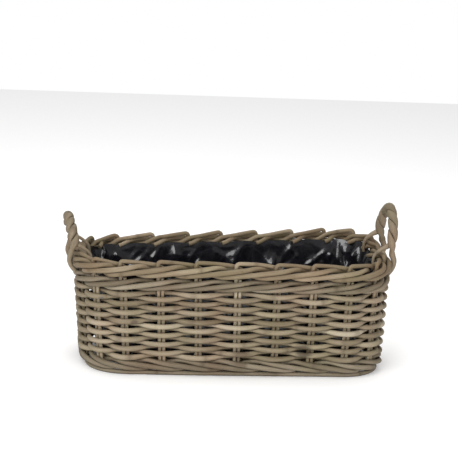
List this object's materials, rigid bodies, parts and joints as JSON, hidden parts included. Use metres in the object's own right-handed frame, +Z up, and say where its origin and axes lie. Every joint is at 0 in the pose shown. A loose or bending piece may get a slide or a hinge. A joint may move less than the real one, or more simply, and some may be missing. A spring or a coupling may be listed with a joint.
{
  "type": "plant pot cover",
  "caption": "Long rectangular woven rattan pot cover with rounded corners, a folded-down rod border, a twisted ear handle at each end and a black film liner inside.",
  "frame": {"origin": "centre of the basket's footprint, on the ground under the foot hoop", "axes": "+X along the basket's long side, from the left handle to the right handle; the pictured front faces -Y; +Z up"},
  "size_m": [0.5984, 0.2641, 0.2993],
  "materials": {
    "stake_rod": "unvarnished grey-brown rattan rod, dull, with fine lengthwise fibres",
    "weaver_rod": "unvarnished grey-brown rattan rod, dull, with fine lengthwise fibres",
    "wale_rod": "unvarnished grey-brown rattan rod, dull, with fine lengthwise fibres",
    "handle_rod": "unvarnished grey-brown rattan rod, dull, with fine lengthwise fibres",
    "base_rod": "unvarnished grey-brown rattan rod, dull, with fine lengthwise fibres",
    "liner_film": "glossy black plastic film, creased"
  },
  "bodies": {
    "root": {"stake_01": "stake_rod", "stake_02": "stake_rod", "stake_03": "stake_rod", "stake_04": "stake_rod", "stake_05": "stake_rod", "stake_06": "stake_rod", "stake_07": "stake_rod", "stake_08": "stake_rod", "stake_09": "stake_rod", "stake_10": "stake_rod", "stake_11": "stake_rod", "stake_12": "stake_rod", "stake_13": "stake_rod", "stake_14": "stake_rod", "stake_15": "stake_rod", "stake_16": "stake_rod", "stake_17": "stake_rod", "stake_18": "stake_rod", "stake_19": "stake_rod", "stake_20": "stake_rod", "stake_21": "stake_rod", "stake_22": "stake_rod", "stake_23": "stake_rod", "stake_24": "stake_rod", "weaver_01": "weaver_rod", "weaver_02": "weaver_rod", "weaver_03": "weaver_rod", "weaver_04": "weaver_rod", "weaver_05": "weaver_rod", "weaver_06": "weaver_rod", "weaver_07": "weaver_rod", "weaver_08": "weaver_rod", "weaver_09": "weaver_rod", "weaver_10": "weaver_rod", "weaver_11": "weaver_rod", "weaver_12": "weaver_rod", "weaver_13": "weaver_rod", "weaver_14": "weaver_rod", "weaver_15": "weaver_rod", "top_wale_1": "wale_rod", "top_wale_2": "wale_rod", "top_wale_3": "wale_rod", "foot_wale_1": "wale_rod", "foot_wale_2": "wale_rod", "foot_wale_3": "wale_rod", "foot_hoop": "wale_rod", "left_handle_strand_a": "handle_rod", "left_handle_strand_b": "handle_rod", "right_handle_strand_a": "handle_rod", "right_handle_strand_b": "handle_rod", "base_stick_1": "base_rod", "base_stick_2": "base_rod", "base_stick_3": "base_rod", "base_weave": "base_rod", "liner": "liner_film"}
  },
  "joints": []
}
